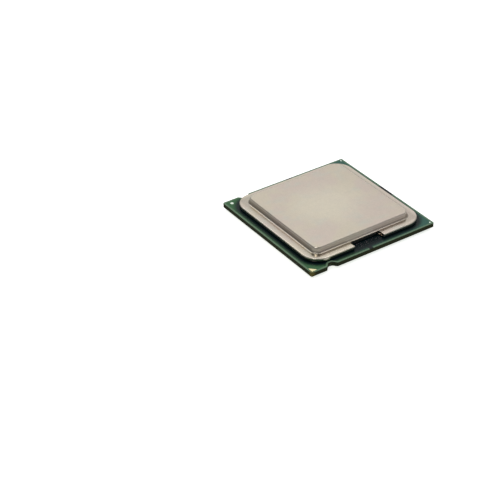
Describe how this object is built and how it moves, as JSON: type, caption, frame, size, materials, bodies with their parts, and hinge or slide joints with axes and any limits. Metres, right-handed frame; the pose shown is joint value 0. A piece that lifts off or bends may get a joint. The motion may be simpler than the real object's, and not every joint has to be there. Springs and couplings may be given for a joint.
{
  "type": "land grid processor package",
  "caption": "Square processor package: laminated green substrate, raised metal heat spreader on top, gold lands and ceramic capacitors underneath, two edge notches.",
  "frame": {"origin": "centre of the square footprint, at the level of the land-side capacitors' undersides, on which the loose package stands", "axes": "+Z from the lands to the heat spreader; the pin-one corner is at -X -Y and the two edge notches are in the -Y and +Y edges near the -X side"},
  "size_m": [0.0376, 0.0376, 0.0046],
  "materials": {
    "nickel_plating": "satin nickel plate over copper",
    "sealant": "cured silicone bead",
    "thermal_compound": "metal-filled thermal interface",
    "silicon": "polished silicon",
    "underfill": "filled epoxy",
    "solder": "reflowed solder",
    "solder_mask": "semi-gloss green mask",
    "copper": "plated copper",
    "dielectric": "build-up resin",
    "core_laminate": "glass-cloth laminate, cut edge",
    "via_resin": "filled hole plug",
    "gold_plating": "soft gold over nickel",
    "capacitor_ceramic": "fired ceramic, matte",
    "capacitor_terminal": "tinned terminal"
  },
  "bodies": {
    "root": {"heat_spreader": "nickel_plating", "lid_sealant": "sealant", "thermal_interface": "thermal_compound", "silicon_die": "silicon", "die_underfill": "underfill", "die_bumps": "solder", "solder_mask_top": "solder_mask", "copper_top": "copper", "dielectric_top": "dielectric", "inner_copper_top": "copper", "inner_dielectric_top": "dielectric", "core_laminate": "core_laminate", "core_vias": "copper", "via_plugs": "via_resin", "inner_dielectric_bottom": "dielectric", "inner_copper_bottom": "copper", "dielectric_bottom": "dielectric", "copper_bottom": "copper", "solder_mask_bottom": "solder_mask", "land_contacts": "gold_plating", "pin_one_mark_top": "gold_plating", "pin_one_mark_bottom": "gold_plating", "alignment_dots_top": "gold_plating", "alignment_dots_bottom": "gold_plating", "test_pads": "gold_plating", "spare_site_pads": "solder", "capacitor_terminals": "capacitor_terminal", "chip_bodies": "capacitor_ceramic", "chip_terminals": "capacitor_terminal", "capacitor_solder": "solder", "chip_solder": "solder", "capacitor_body_1": "capacitor_ceramic", "capacitor_body_2": "capacitor_ceramic", "capacitor_body_3": "capacitor_ceramic", "capacitor_body_4": "capacitor_ceramic", "capacitor_body_5": "capacitor_ceramic", "capacitor_body_6": "capacitor_ceramic", "capacitor_body_7": "capacitor_ceramic", "capacitor_body_8": "capacitor_ceramic", "capacitor_body_9": "capacitor_ceramic", "capacitor_body_10": "capacitor_ceramic", "capacitor_body_11": "capacitor_ceramic", "capacitor_body_12": "capacitor_ceramic", "capacitor_body_13": "capacitor_ceramic", "capacitor_body_14": "capacitor_ceramic", "capacitor_body_15": "capacitor_ceramic", "capacitor_body_16": "capacitor_ceramic", "capacitor_body_17": "capacitor_ceramic", "capacitor_body_18": "capacitor_ceramic", "capacitor_body_19": "capacitor_ceramic"}
  },
  "joints": []
}
